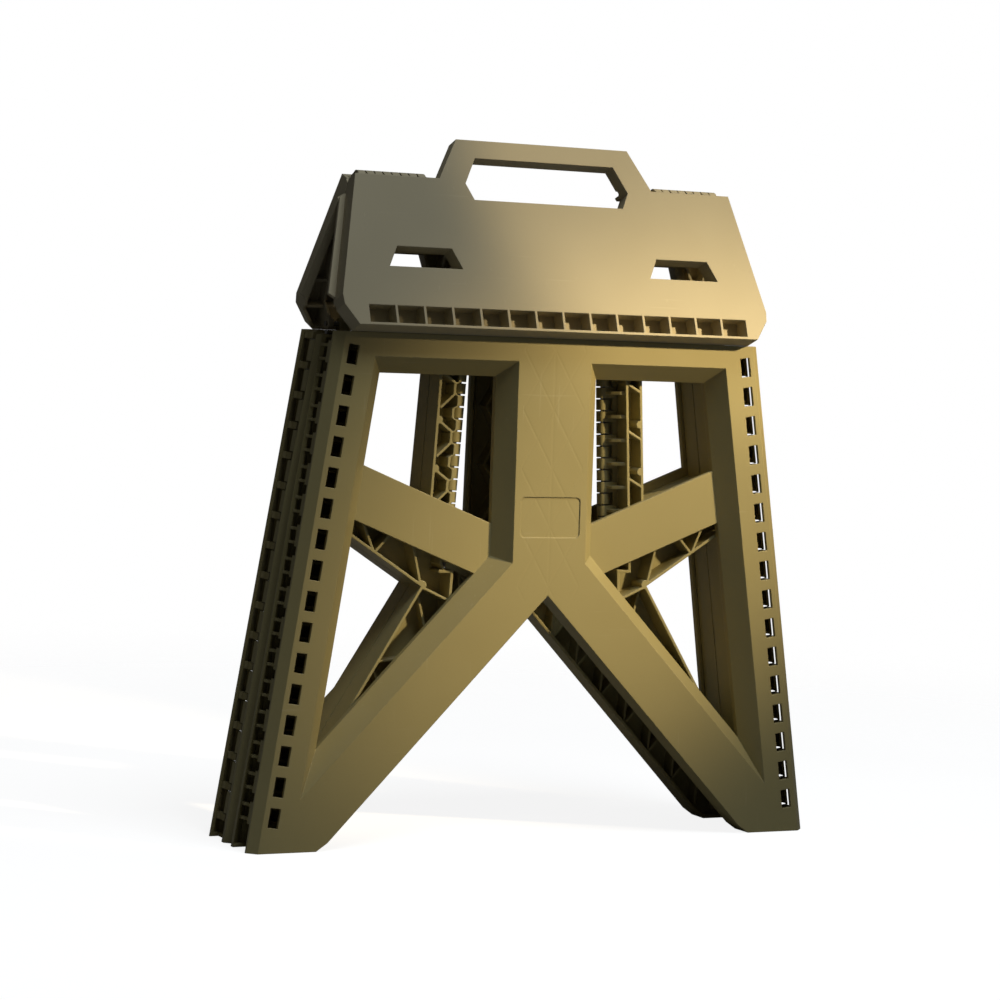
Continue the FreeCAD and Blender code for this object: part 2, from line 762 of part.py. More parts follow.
def seat_lug_ribs():
    """Ribs across the hinge edge whose tails carry the seat pin."""
    shapes = []
    for i in range(cell_count + 1):
        x = (i - cell_count / 2) * cell_pitch
        profile = [V(x, root, 0.8), V(x, root, 20), V(x, 12, 18),
                   V(x, seat_axis_depth, seat_axis_run + lug_radius),
                   V(x, seat_axis_depth, seat_axis_run - lug_radius), V(x, 13, 0.8)]
        rib = Part.Face(Part.makePolygon(profile + [profile[0]])).extrude(V(1.8, 0, 0))
        rib.translate(V(-0.9, 0, 0))
        shapes.append(rib)
        shapes.append(Part.makeCylinder(lug_radius, 3.6, V(x - 1.8, seat_axis_depth, seat_axis_run), V(1, 0, 0)))
    return shapes


def seat_ribs():
    """Stiffening ribs and posts under a seat half."""
    deep = 11.0
    ribs = [bar((-seat_half_widest, 15.5), (seat_half_widest, 15.5), rib_thickness, 1, seat_skirt - 1)]
    for u in (33.0, 62.0):
        ribs.append(bar((-seat_half_widest, u), (seat_half_widest, u), rib_thickness, 1, deep))
    for i in range(8):
        x = -140 + i * 40
        ribs.append(bar((x, 14), (x, seat_depth_run - 1), rib_thickness, 1, deep))
    for x in (-120, -40, 40, 120):
        ribs.append(bar((x - 20, 33), (x, 62), rib_thickness, 1, deep - 2))
        ribs.append(bar((x + 20, 33), (x, 62), rib_thickness, 1, deep - 2))
    for x in (-95, -20, 20, 95):
        ribs.append(boss(x, 47.5 + (0 if abs(x) < 50 else 18), 5.0, 1, deep))
    return ribs


def seam_positions(offset):
    """Right-hand positions of one seat half's seam knuckles."""
    return [seam_first + seam_pitch * i for i in range(offset, seam_knuckles, 2)]


def seam_set(offset):
    """Seam knuckles with their arms, on both sides."""
    run = seat_depth_run + seam_gap
    shapes = []
    for x in seam_positions(offset):
        x0 = x - seam_knuckle_width / 2
        centre = V(x0, seam_axis_depth, run)
        shapes.append(Part.makeCylinder(seam_knuckle_radius, seam_knuckle_width, centre, V(1, 0, 0)))
        profile = [V(x0, 1.5, seat_depth_run - 15), V(x0, 1.5, seat_depth_run - 1),
                   V(x0, seam_axis_depth - 3.9, run + 2.6), V(x0, seam_axis_depth + 2, run - 4.2),
                   V(x0, seam_axis_depth - 4, seat_depth_run - 13)]
        arm = Part.Face(Part.makePolygon(profile + [profile[0]])).extrude(V(seam_knuckle_width, 0, 0))
        shapes.append(arm)
    return both_sides(shapes)


def seam_clearance(offset):
    """Room for the other half's seam knuckles."""
    run = seat_depth_run + seam_gap
    reach = seam_knuckle_radius + 2.2
    first = seam_first - 6.0
    length = seam_pitch * (seam_knuckles - 1) + 12.0
    cut = Part.makeCylinder(reach, length, V(first, seam_axis_depth, run), V(1, 0, 0))
    return both_sides([cut])


def seat_half(front, label):
    """Seat half in its folded place (the rear one is turned afterwards)."""
    outline = seat_outline()
    block = slab(outline, 0, seat_side_depth)
    cavity = slab(inset(outline, wall_thickness), face_thickness, seat_side_depth + 1)
    corner_band = Part.makeBox(400, 10, seat_widest_at + 20, V(-200, seat_skirt, -20))
    shell = block.cut([cavity, corner_band])
    lip_low = seat_widest_at + 4
    lip_high = seat_depth_run - 8
    slope = (seat_half_widest - seat_half_seam) / (seat_depth_run - seat_widest_at)
    x0 = seat_half_widest - 0.8 - slope * 4
    x1 = seat_half_widest - slope * (lip_high - seat_widest_at)
    lip = slab([(x0 - root, lip_low), (x0 + seat_lip, lip_low + 4),
                (x1 + seat_lip, lip_high - 4), (x1 - root, lip_high)],
               seat_side_depth - face_thickness, seat_side_depth)
    parts = [shell] + both_sides([lip])
    slots = both_sides([slab(slot_outline(), -1, 30)])
    slot_walls = both_sides([slab(inset(slot_outline(), -1.6), 1, 12.0)])
    ribs = join(seat_ribs() + slot_walls).common(block)
    cuts = []
    if front:
        tab = slab(handle_outline(0), 0, handle_depth)
        hollow = slab(inset(handle_outline(0), 2.4), face_thickness, handle_depth + 1)
        collar = slab(inset(grip_outline(), -2.4), 0, handle_depth)
        base_wall = bar((-handle_base, seat_depth_run - 19), (handle_base, seat_depth_run - 19),
                        2.0, 1, handle_depth)
        parts.append(tab.cut(hollow.cut(collar)))
        parts.append(collar.common(join([tab, block])))
        parts.append(base_wall)
        cuts.append(slab(grip_outline(), -1, 40))
    else:
        parts.append(slab(inset(notch_outline(), -2.0), 0, 12.0).common(block))
        cuts.append(slab(notch_outline(), -1, 40))
    back = Part.makeBox(cell_pitch * cell_count, cell_back_plate, 14.5,
                        V(-cell_pitch * cell_count / 2, cell_back, 1))
    body = join(parts + [ribs, back] + seat_lug_ribs())
    cells = []
    for i in range(cell_count):
        x = (i - (cell_count - 1) / 2) * cell_pitch
        cells.append(Part.makeBox(cell_width, face_thickness + 2, cell_high - cell_low,
                                  V(x - cell_width / 2, -1, cell_low)))
    offset = 0 if front else 1
    body = body.cut(cuts + slots + cells + seam_clearance(offset))
    body = seated(body)
    back_cut = Part.makeBox(500, 100, 400, V(-250, -middle_gap, 200))
    if front:
        tab_zone = Part.makeBox(2 * handle_base + 0.02, 100, 60,
                                V(-handle_base - 0.01, -middle_gap - 1, seam_edge()[1] - 13))
        back_cut = back_cut.cut(tab_zone)
    body = body.cut(back_cut)
    knuckles = [seated(k) for k in seam_set(offset)]
    axis_y, axis_z = seat_axis()
    seat_bore = Part.makeCylinder(pin_radius + pin_running_clearance, 400, V(-200, axis_y, axis_z), V(1, 0, 0))
    run = seat_depth_run + seam_gap
    bore_radius = pin_radius if front else pin_radius + seam_joint_clearance
    seam_bore = seated(Part.makeCylinder(bore_radius, 400, V(-200, seam_axis_depth, run), V(1, 0, 0)))
    return clean_shell([body] + knuckles, [seat_bore, seam_bore], label)


def seam_edge():
    """Position (y, z) of the front seat face's seam edge."""
    y = -seat_edge_y + seat_depth_run * sin(seat_tilt)
    return y, seat_edge_z + seat_depth_run * cos(seat_tilt)


# ---- pins ----

def pin_along(distance0, distance1, angle):
    """Steel pin on a hinge line."""
    return pin_hole_line(distance0, distance1, pin_radius, angle)


def mid_pin_end():
    """Lower end of the middle pins, as a distance from the apex."""
    last = mid_first + mid_pitch * (mid_count - 0.5)
    return last + mid_pin_over + 1


def cross_pin(x0, x1, y, z):
    """Steel pin parallel to X."""
    return Part.makeCylinder(pin_radius, x1 - x0, V(x0, y, z), V(1, 0, 0))


# ---- parts ----
os.makedirs("parts", exist_ok=True)


def save(name, shape):
    """Write one part."""
    shape.exportStep("parts/" + name + ".step")


front_panel = leg_panel()
save("front_leg_panel", front_panel)
save("rear_leg_panel", turned_half(front_panel))

running = pin_radius + pin_running_clearance
closing = pin_radius + closing_joint_clearance
wavy = mirrored(side_half(False, "wavy side half"))
runged = side_half(True, "runged side half")
save("front_left_side_half", mirrored(bored(mirrored(wavy), running, pin_radius)))
save("front_right_side_half", bored(runged, running, pin_radius))
save("rear_left_side_half", turned_half(bored(runged, running, running)))
save("rear_right_side_half", turned_half(mirrored(bored(mirrored(wavy), closing, running))))

save("front_seat_half", seat_half(True, "front seat half"))
save("rear_seat_half", turned_half(seat_half(False, "rear seat half")))

corner_last = corner_first + corner_pitch * (corner_count - 1)
corner_pin = leaned(pin_along(corner_first - corner_pin_over, corner_last + corner_pin_over, slant_angle))
save("corner_pin_front_right", corner_pin)
save("corner_pin_front_left", mirrored(corner_pin))
save("corner_pin_rear_left", turned_half(corner_pin))
save("corner_pin_rear_right", turned_half(mirrored(corner_pin)))

mid_pin = pin_along(mid_first - mid_pin_over, mid_pin_end(), mid_angle)
save("mid_pin_right", mid_pin)
save("mid_pin_left", mirrored(mid_pin))

seat_pin_half = cell_pitch * cell_count / 2 + seat_pin_over
lug_y, lug_z = seat_axis()
front_seat_pin = cross_pin(-seat_pin_half, seat_pin_half, lug_y, lug_z)
save("seat_pin_front", front_seat_pin)
save("seat_pin_rear", turned_half(front_seat_pin))

seam_y, seam_z = seam_edge()
seam_z += seam_gap * cos(seat_tilt) - seam_axis_depth * sin(seat_tilt)
seam_end = seam_first + seam_pitch * (seam_knuckles - 1) + seam_pin_over
seam_pin = cross_pin(seam_first - seam_pin_over, seam_end, 0, seam_z)
save("seam_pin_right", seam_pin)
save("seam_pin_left", mirrored(seam_pin))
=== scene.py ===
import logging
import math
from dataclasses import dataclass
from enum import Enum
from typing import List, Sequence, Tuple

import bmesh
import bpy
from mathutils import Matrix, Vector


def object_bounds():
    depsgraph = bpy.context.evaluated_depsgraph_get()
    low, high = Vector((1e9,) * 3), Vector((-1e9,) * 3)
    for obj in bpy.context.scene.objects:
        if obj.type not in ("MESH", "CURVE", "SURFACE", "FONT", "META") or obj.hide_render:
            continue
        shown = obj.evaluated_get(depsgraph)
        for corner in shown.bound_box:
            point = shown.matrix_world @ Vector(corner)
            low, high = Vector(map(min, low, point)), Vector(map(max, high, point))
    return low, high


# Folding step stool, folded flat and standing on its feet: moulded plastic
# shells on steel hinge pins.  Lengths are metres in the frame of the packed
# model, X across the stool, Y from front to back, Z up.

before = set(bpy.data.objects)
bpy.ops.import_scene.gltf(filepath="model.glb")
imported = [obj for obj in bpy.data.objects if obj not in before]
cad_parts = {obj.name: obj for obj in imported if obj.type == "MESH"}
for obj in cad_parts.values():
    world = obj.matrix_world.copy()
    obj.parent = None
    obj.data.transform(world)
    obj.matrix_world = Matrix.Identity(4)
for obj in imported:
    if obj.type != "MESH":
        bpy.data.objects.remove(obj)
cad_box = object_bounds()

log = logging.getLogger("step_stool")

Colour = Tuple[float, float, float]
Point = Tuple[float, float, float]


class Shell(Enum):
    """The three mouldings the stool is made of."""

    LEG = "leg_plastic"
    SIDE = "side_plastic"
    SEAT = "seat_plastic"


class Group(Enum):
    """Shared surface effects, each one shader node group."""

    DRIFT = "tone_drift"
    TEXTURE = "mould_texture"
    RUB_AND_HIGHLIGHT = "rubbed_edges_and_painted_highlight"
    DUST = "settled_dust"
    SCUFF = "handling_scuffs"
    SINK = "rib_sink_marks"


# ---------------------------------------------------------------- node bench


class Bench:
    """Small helper that adds and wires the nodes of one tree."""

    COLUMNS = 8
    STEP_ACROSS = 190
    STEP_DOWN = 240

    def __init__(self, tree: bpy.types.NodeTree) -> None:
        """Start with an empty tree.

        Args:
            tree: Material, world or group tree to fill.
        """
        self.tree = tree
        self.tree.nodes.clear()
        self.count = 0

    def add(self, kind: str, **settings: object) -> bpy.types.Node:
        """Add a node.

        Args:
            kind: Blender node type without the ShaderNode prefix.
            **settings: Node properties to set.

        Returns:
            The new node.
        """
        full = kind if kind.startswith("Node") else "ShaderNode" + kind
        node = self.tree.nodes.new(full)
        row, column = divmod(self.count, self.COLUMNS)
        node.location = (column * self.STEP_ACROSS, -row * self.STEP_DOWN)
        self.count += 1
        for name, value in settings.items():
            setattr(node, name, value)
        return node

    def put(self, socket: bpy.types.NodeSocket, value: object) -> None:
        """Link a socket into another one, or set it to a plain value.

        Args:
            socket: Input socket to feed.
            value: Output socket, number or tuple.
        """
        if isinstance(value, bpy.types.NodeSocket):
            self.tree.links.new(value, socket)
        else:
            socket.default_value = value

    def math(self, operation: str, *values: object, clamp: bool = False) -> bpy.types.NodeSocket:
        """Math node.

        Args:
            operation: Blender math operation.
            *values: Sockets or numbers for its inputs.
            clamp: Keep the result between 0 and 1.

        Returns:
            The result socket.
        """
        node = self.add("Math", operation=operation, use_clamp=clamp)
        for index, value in enumerate(values):
            self.put(node.inputs[index], value)
        return node.outputs[0]

    def ramp(self, value: object, low: float, high: float, to_low: float = 0.0,
             to_high: float = 1.0) -> bpy.types.NodeSocket:
        """Smooth step between two values.

        Args:
            value: Socket to map.
            low: Input that gives to_low.
            high: Input that gives to_high.
            to_low: Result at low.
            to_high: Result at high.

        Returns:
            The mapped socket.
        """
        node = self.add("MapRange", interpolation_type="SMOOTHSTEP")
        for name, item in (("Value", value), ("From Min", low), ("From Max", high),
                           ("To Min", to_low), ("To Max", to_high)):
            self.put(node.inputs[name], item)
        return node.outputs["Result"]

    def noise(self, vector: object, scale: object, detail: float = 2.0,
              roughness: float = 0.5) -> bpy.types.NodeSocket:
        """Noise texture value.

        Args:
            vector: Coordinates.
            scale: Size of the pattern in cells per metre.
            detail: Number of finer layers.
            roughness: Strength of the finer layers.

        Returns:
            The factor socket.
        """
        node = self.add("TexNoise")
        for name, item in (("Vector", vector), ("Scale", scale), ("Detail", detail),
                           ("Roughness", roughness)):
            self.put(node.inputs[name], item)
        return node.outputs["Fac"]

    def blend(self, factor: object, first: object, second: object) -> bpy.types.NodeSocket:
        """Mix two colours.

        Args:
            factor: Share of the second colour.
            first: Colour socket or RGB.
            second: Colour socket or RGB.

        Returns:
            The mixed colour.
        """
        node = self.add("Mix", data_type="RGBA", blend_type="MIX")
        self.put(node.inputs[0], factor)
        for index, item in ((6, first), (7, second)):
            plain = not isinstance(item, bpy.types.NodeSocket)
            self.put(node.inputs[index], (*item, 1.0) if plain else item)
        return node.outputs[2]

    def group(self, which: Group, **values: object) -> bpy.types.Node:
        """Place a shared effect with this material's own values.

        Args:
            which: Effect to place.
            **values: Inputs by name, with spaces written as underscores.

        Returns:
            The group node.
        """
        node = self.add("Group")
        node.node_tree = bpy.data.node_groups[which.value]
        for name, value in values.items():
            self.put(node.inputs[name.replace("_", " ")], value)
        return node


# ------------------------------------------------------------ shared effects


class SurfaceEffects:
    """Makes each shared node group once."""

    FLAT_FACE = 0.995
    ROUND_EDGE = 0.82
    SLOPING_FACE = 0.35
    LEVEL_FACE = 0.98
    SCUFF_TURNS = (0.5, -0.9)
    SCUFF_STRETCHES = ((1.0, 1.0, 0.03), (0.04, 1.0, 1.0))
    SCUFF_AREAS = 17.0
    RIB_BAYS = 4.0
    RIB_FADE = 0.4

    def make_all(self) -> None:
        """Build every group that the finishes use."""
        self.tone_drift()
        self.mould_texture()
        self.rubbed_edges_and_painted_highlight()
        self.settled_dust()
        self.handling_scuffs()
        self.rib_sink_marks()
        log.info("shared effects: %s", ", ".join(g.value for g in Group))

    def start(self, which: Group, inputs: Sequence[Tuple[str, object]],
              outputs: Sequence[str]) -> Tuple[Bench, bpy.types.Node, bpy.types.Node]:
        """Open a new group with named sockets.

        Args:
            which: Group to make.
            inputs: Names with default numbers, or None for a vector.
            outputs: Names of the outputs, values but for a Normal.

        Returns:
            The bench, the group input node and the group output node.
        """
        tree = bpy.data.node_groups.new(which.value, "ShaderNodeTree")
        for name, default in inputs:
            kind = "NodeSocketVector" if default is None else "NodeSocketFloat"
            socket = tree.interface.new_socket(name, in_out="INPUT", socket_type=kind)
            if default is not None:
                socket.default_value = default
        for name in outputs:
            kind = "NodeSocketVector" if name == "Normal" else "NodeSocketFloat"
            tree.interface.new_socket(name, in_out="OUTPUT", socket_type=kind)
        bench = Bench(tree)
        return bench, bench.add("NodeGroupInput"), bench.add("NodeGroupOutput")

    def tone_drift(self) -> None:
        """Slow colour drift of the melt and fine specks of pigment."""
        b, src, out = self.start(Group.DRIFT, (("Place", None), ("Broad", 7.0), ("Specks", 900.0)),
                                 ("Drift", "Speck"))
        broad = b.noise(src.outputs["Place"], src.outputs["Broad"], 3.0, 0.55)
        specks = b.noise(src.outputs["Place"], src.outputs["Specks"], 1.0, 0.4)
        b.put(out.inputs["Drift"], b.ramp(broad, 0.32, 0.68))
        b.put(out.inputs["Speck"], b.ramp(specks, 0.63, 0.78))

    def mould_texture(self) -> None:
        """Spark-eroded satin grain and the slight waviness of moulded walls."""
        b, src, out = self.start(Group.TEXTURE, (("Place", None), ("Grain", 1500.0), ("Waves", 26.0),
                                                 ("Grain Height", 0.00002), ("Wave Height", 0.00012)),
                                 ("Height", "Gloss"))
        grain = b.noise(src.outputs["Place"], src.outputs["Grain"], 2.0, 0.6)
        waves = b.noise(src.outputs["Place"], src.outputs["Waves"], 1.0, 0.4)
        fine = b.math("MULTIPLY", grain, src.outputs["Grain Height"])
        slow = b.math("MULTIPLY", waves, src.outputs["Wave Height"])
        b.put(out.inputs["Height"], b.math("ADD", fine, slow))
        b.put(out.inputs["Gloss"], b.math("SUBTRACT", waves, 0.5))

    def rubbed_edges_and_painted_highlight(self) -> None:
        """Rounded corners of the mould, and a mask of edges painted lighter: where handling rubbed
        them, and a painted highlight.
        """
        b, src, out = self.start(Group.RUB_AND_HIGHLIGHT, (("Place", None), ("Radius", 0.0008), ("Patches", 34.0)),
                                 ("Mask", "Normal"))
        rounded = b.add("Bevel", samples=4)
        b.put(rounded.inputs["Radius"], src.outputs["Radius"])
        true = b.add("NewGeometry")
        dot = b.add("VectorMath", operation="DOT_PRODUCT")
        b.put(dot.inputs[0], rounded.outputs["Normal"])
        b.put(dot.inputs[1], true.outputs["Normal"])
        # The edge mask paints the edges lighter: part edge wear, part painted highlight along the
        # rounded corners.
        edge = b.ramp(dot.outputs["Value"], self.FLAT_FACE, self.ROUND_EDGE)
        wear_and_highlight_patches = b.noise(src.outputs["Place"], src.outputs["Patches"], 3.0, 0.6)
        patch = b.ramp(wear_and_highlight_patches, 0.36, 0.66)
        b.put(out.inputs["Mask"], b.math("MULTIPLY", edge, patch))
        b.put(out.inputs["Normal"], rounded.outputs["Normal"])

    def settled_dust(self) -> None:
        """Mask of dust on upward faces."""
        b, src, out = self.start(Group.DUST, (("Place", None), ("Patches", 60.0)), ("Mask",))
        geometry = b.add("NewGeometry")
        split = b.add("SeparateXYZ")
        b.put(split.inputs[0], geometry.outputs["Normal"])
        up = b.ramp(split.outputs["Z"], self.SLOPING_FACE, self.LEVEL_FACE)
        settled = b.noise(src.outputs["Place"], src.outputs["Patches"], 4.0, 0.65)
        patch = b.ramp(settled, 0.35, 0.7)
        b.put(out.inputs["Mask"], b.math("MULTIPLY", up, patch))

    def handling_scuffs(self) -> None:
        """Mask of faint long scuffs in two directions."""
        b, src, out = self.start(Group.SCUFF, (("Place", None), ("Fineness", 420.0)), ("Mask",))
        found: List[bpy.types.NodeSocket] = []
        for turn, stretch in zip(self.SCUFF_TURNS, self.SCUFF_STRETCHES):
            mapping = b.add("Mapping")
            b.put(mapping.inputs["Vector"], src.outputs["Place"])
            b.put(mapping.inputs["Rotation"], (0.0, turn, 0.0))
            b.put(mapping.inputs["Scale"], stretch)
            streak = b.noise(mapping.outputs["Vector"], src.outputs["Fineness"], 1.0, 0.5)
            found.append(b.ramp(streak, 0.70, 0.76))
        where = b.ramp(b.noise(src.outputs["Place"], self.SCUFF_AREAS, 2.0), 0.50, 0.66)
        b.put(out.inputs["Mask"], b.math("MULTIPLY", b.math("MAXIMUM", *found), where))

    def rib_sink_marks(self) -> None:
        """Shallow marks that the hidden ribs leave on a leg panel's face."""
        b, src, out = self.start(Group.SINK, (("Place", None), ("Line Width", 0.0016),
                                              ("Low", 0.170), ("High", 0.326),
                                              ("Half Width", 0.0228)), ("Depth",))
        split = b.add("SeparateXYZ")
        b.put(split.inputs[0], src.outputs["Place"])
        across = b.math("ABSOLUTE", split.outputs["X"])
        span = b.math("SUBTRACT", src.outputs["High"], src.outputs["Low"])
        above = b.math("SUBTRACT", split.outputs["Z"], src.outputs["Low"])
        step = b.math("DIVIDE", above, b.math("DIVIDE", span, self.RIB_BAYS))
        saw = b.math("FRACT", step)
        share = b.math("DIVIDE", across, src.outputs["Half Width"])
        inside = b.math("LESS_THAN", share, 1.0)
        lines: List[bpy.types.NodeSocket] = []
        for target in (share, b.math("SUBTRACT", 1.0, share)):
            apart = b.math("ABSOLUTE", b.math("SUBTRACT", saw, target))
            gap = b.math("MULTIPLY", apart, src.outputs["Half Width"])
            lines.append(b.ramp(gap, src.outputs["Line Width"], 0.0))
        cross = b.math("MULTIPLY", b.math("MAXIMUM", *lines), inside)
        centre = b.ramp(across, src.outputs["Line Width"], 0.0)
        both = b.math("MAXIMUM", cross, centre)
        below = b.ramp(step, -self.RIB_FADE, 0.0)
        beyond = b.ramp(step, self.RIB_BAYS + self.RIB_FADE, self.RIB_BAYS)
        zone = b.math("MULTIPLY", below, beyond)
        b.put(out.inputs["Depth"], b.math("MULTIPLY", both, zone))


# ------------------------------------------------------------------ finishes


@dataclass(frozen=True)
class MouldedPlastic:
    """Satin polypropylene as it comes out of the mould, a little handled, with edges painted lighter
    for wear and as a painted highlight.
    """

    name: str
    tone: Colour
    deep_tone: Colour
    pale_tone: Colour
    dust_tone: Colour = (0.42, 0.38, 0.30)
    roughness: float = 0.42
    specular: float = 0.45
    grain: float = 1500.0
    waves: float = 26.0
    sink_depth: float = 0.0
    drift_share: float = 0.5
    speck_share: float = 0.25
    # share of pale tone on the edges, for wear and a painted highlight
    edge_wear_and_highlight: float = 0.45
    scuff_share: float = 0.22
    dust_share: float = 0.18
    gloss_swing: float = 0.10
    dust_dulls: float = 0.20
    rub_shines: float = -0.10
    scuff_dulls: float = 0.12

    def build(self) -> bpy.types.Material:
        """Make the material.

        Returns:
            A node material for one family of shells.
        """
        material = bpy.data.materials.new(self.name)
        material.use_nodes = True
        b = Bench(material.node_tree)
        place = b.add("TexCoord").outputs["Object"]
        drift = b.group(Group.DRIFT, Place=place)
        texture = b.group(Group.TEXTURE, Place=place, Grain=self.grain, Waves=self.waves)
        rub_and_highlight = b.group(Group.RUB_AND_HIGHLIGHT, Place=place)
        dust = b.group(Group.DUST, Place=place)
        scuff = b.group(Group.SCUFF, Place=place)
        colour: object = self.tone
        for mask, share, tint in (
                (drift.outputs["Drift"], self.drift_share, self.deep_tone),
                (drift.outputs["Speck"], self.speck_share, self.deep_tone),
                # edges painted lighter: edge wear and a painted highlight
                (rub_and_highlight.outputs["Mask"], self.edge_wear_and_highlight, self.pale_tone),
                (scuff.outputs["Mask"], self.scuff_share, self.pale_tone),
                (dust.outputs["Mask"], self.dust_share, self.dust_tone)):
            colour = b.blend(b.math("MULTIPLY", mask, share), colour, tint)
        gloss = b.math("MULTIPLY_ADD", texture.outputs["Gloss"], self.gloss_swing, self.roughness)
        gloss = b.math("MULTIPLY_ADD", dust.outputs["Mask"], self.dust_dulls, gloss)
        gloss = b.math("MULTIPLY_ADD", rub_and_highlight.outputs["Mask"], self.rub_shines, gloss)
        gloss = b.math("MULTIPLY_ADD", scuff.outputs["Mask"], self.scuff_dulls, gloss, clamp=True)
        height = texture.outputs["Height"]
        if self.sink_depth > 0:
            sink = b.group(Group.SINK, Place=place)
            height = b.math("MULTIPLY_ADD", sink.outputs["Depth"], -self.sink_depth, height)
        bump = b.add("Bump")
        b.put(bump.inputs["Distance"], 1.0)
        b.put(bump.inputs["Height"], height)
        b.put(bump.inputs["Normal"], rub_and_highlight.outputs["Normal"])
        shader = b.add("BsdfPrincipled")
        b.put(shader.inputs["Base Color"], colour)
        b.put(shader.inputs["Roughness"], gloss)
        b.put(shader.inputs["Specular IOR Level"], self.specular)
        b.put(shader.inputs["Normal"], bump.outputs["Normal"])
        b.put(b.add("OutputMaterial").inputs["Surface"], shader.outputs["BSDF"])
        return material


@dataclass(frozen=True)
class DrawnSteel:
    """Zinc-dulled drawn steel wire of the hinge pins."""

    name: str = "drawn_steel"
    tone: Colour = (0.46, 0.45, 0.43)
    stain: Colour = (0.20, 0.17, 0.14)
    roughness: float = 0.34
    stain_share: float = 0.45
    speck_share: float = 0.6
    dull_swing: float = 0.2

    def build(self) -> bpy.types.Material:
        """Make the material.

        Returns:
            A node material with fine grain and light staining.
        """
        material = bpy.data.materials.new(self.name)
        material.use_nodes = True
        b = Bench(material.node_tree)
        place = b.add("TexCoord").outputs["Object"]
        drift = b.group(Group.DRIFT, Place=place, Broad=120.0, Specks=2500.0)
        texture = b.group(Group.TEXTURE, Place=place, Grain=4000.0, Waves=500.0,
                          Grain_Height=0.000006, Wave_Height=0.00001)
        stained = b.math("MULTIPLY", drift.outputs["Drift"], self.stain_share)
        colour = b.blend(stained, self.tone, self.stain)
        specked = b.math("MULTIPLY", drift.outputs["Speck"], self.speck_share)
        colour = b.blend(specked, colour, self.stain)
        bump = b.add("Bump")
        b.put(bump.inputs["Distance"], 1.0)
        b.put(bump.inputs["Height"], texture.outputs["Height"])
        shader = b.add("BsdfPrincipled")
        b.put(shader.inputs["Base Color"], colour)
        b.put(shader.inputs["Metallic"], 1.0)
        dulled = b.math("MULTIPLY_ADD", drift.outputs["Drift"], self.dull_swing, self.roughness)
        b.put(shader.inputs["Roughness"], dulled)
        b.put(shader.inputs["Normal"], bump.outputs["Normal"])
        b.put(b.add("OutputMaterial").inputs["Surface"], shader.outputs["BSDF"])
        return material


@dataclass(frozen=True)
class PaleFloor:
    """Matt white floor that fades into the backdrop."""

    name: str = "pale_floor"
    tone: Colour = (0.40, 0.395, 0.39)
    mark: Colour = (0.36, 0.355, 0.35)
    glow: float = 0.88
    fade_from: float = 0.45
    fade_to: float = 1.4

    def build(self) -> bpy.types.Material:
        """Make the material.

        Returns:
            A node material whose edge fades out.
        """
        material = bpy.data.materials.new(self.name)
        material.use_nodes = True
        b = Bench(material.node_tree)
        place = b.add("TexCoord").outputs["Object"]
        cloud = b.ramp(b.noise(place, 2.5, 4.0), 0.3, 0.7)
        length = b.add("VectorMath", operation="LENGTH")
        b.put(length.inputs[0], place)
        shader = b.add("BsdfPrincipled")
        b.put(shader.inputs["Base Color"], b.blend(cloud, self.tone, self.mark))
        b.put(shader.inputs["Roughness"], b.ramp(cloud, 0.0, 1.0, 0.78, 0.86))
        b.put(shader.inputs["Specular IOR Level"], 0.2)
        faded = b.ramp(length.outputs["Value"], self.fade_from, self.fade_to, 1.0, 0.0)
        b.put(shader.inputs["Alpha"], faded)
        shader.inputs["Emission Color"].default_value = (1.0, 1.0, 1.0, 1.0)
        seen = b.add("LightPath").outputs["Is Camera Ray"]
        b.put(shader.inputs["Emission Strength"], b.math("MULTIPLY", seen, self.glow))
        b.put(b.add("OutputMaterial").inputs["Surface"], shader.outputs["BSDF"])
        return material


# --------------------------------------------------------------- mouldings


@dataclass
class Moulding:
    """One family of hollow shells that share a plastic."""

    kind: Shell
    nodes: Tuple[str, ...]
    finish: MouldedPlastic

    def dress(self) -> None:
        """Give every shell of the family its plastic."""
        material = self.finish.build()
        for name in self.nodes:
            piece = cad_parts[name]
            for slot in piece.material_slots:
                slot.material = material
            log.info("%s: %s for %s", name, material.name, self.kind.value)


@dataclass
class HingePins:
    """Steel hinge pins."""

    nodes: Tuple[str, ...]
    finish: DrawnSteel

    def dress(self) -> None:
        """Give every pin its steel."""
        material = self.finish.build()
        for name in self.nodes:
            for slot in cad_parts[name].material_slots:
                slot.material = material
            log.info("%s: %s", name, material.name)


# ------------------------------------------------------------------- studio


@dataclass(frozen=True)
class Lamp:
    """One lamp that looks at a point; a spot has a cone, an area lamp has none."""

    name: str
    kind: str
    place: Point
    target: Point
    power: float
    colour: Colour
    size: float
    cone: float = 0.0
    soft_edge: float = 1.0

    def hang(self) -> bpy.types.Object:
        """Add the lamp to the scene.

        Returns:
            The lamp object.
        """
        data = bpy.data.lights.new(self.name, self.kind)
        data.energy = self.power
        data.color = self.colour
        if self.kind == "AREA":
            data.size = self.size
        else:
            data.shadow_soft_size = self.size
            data.spot_size = math.radians(self.cone)
            data.spot_blend = self.soft_edge
        lamp = bpy.data.objects.new(self.name, data)
        lamp.location = self.place
        aim = Vector(self.target) - Vector(self.place)
        lamp.rotation_mode = "QUATERNION"
        lamp.rotation_quaternion = aim.to_track_quat("-Z", "Y")
        bpy.context.scene.collection.objects.link(lamp)
        return lamp


KEY_PLACE = (1.10, -1.25, 1.15)
WARM = (1.0, 0.80, 0.48)
COOL = (0.86, 0.93, 1.0)


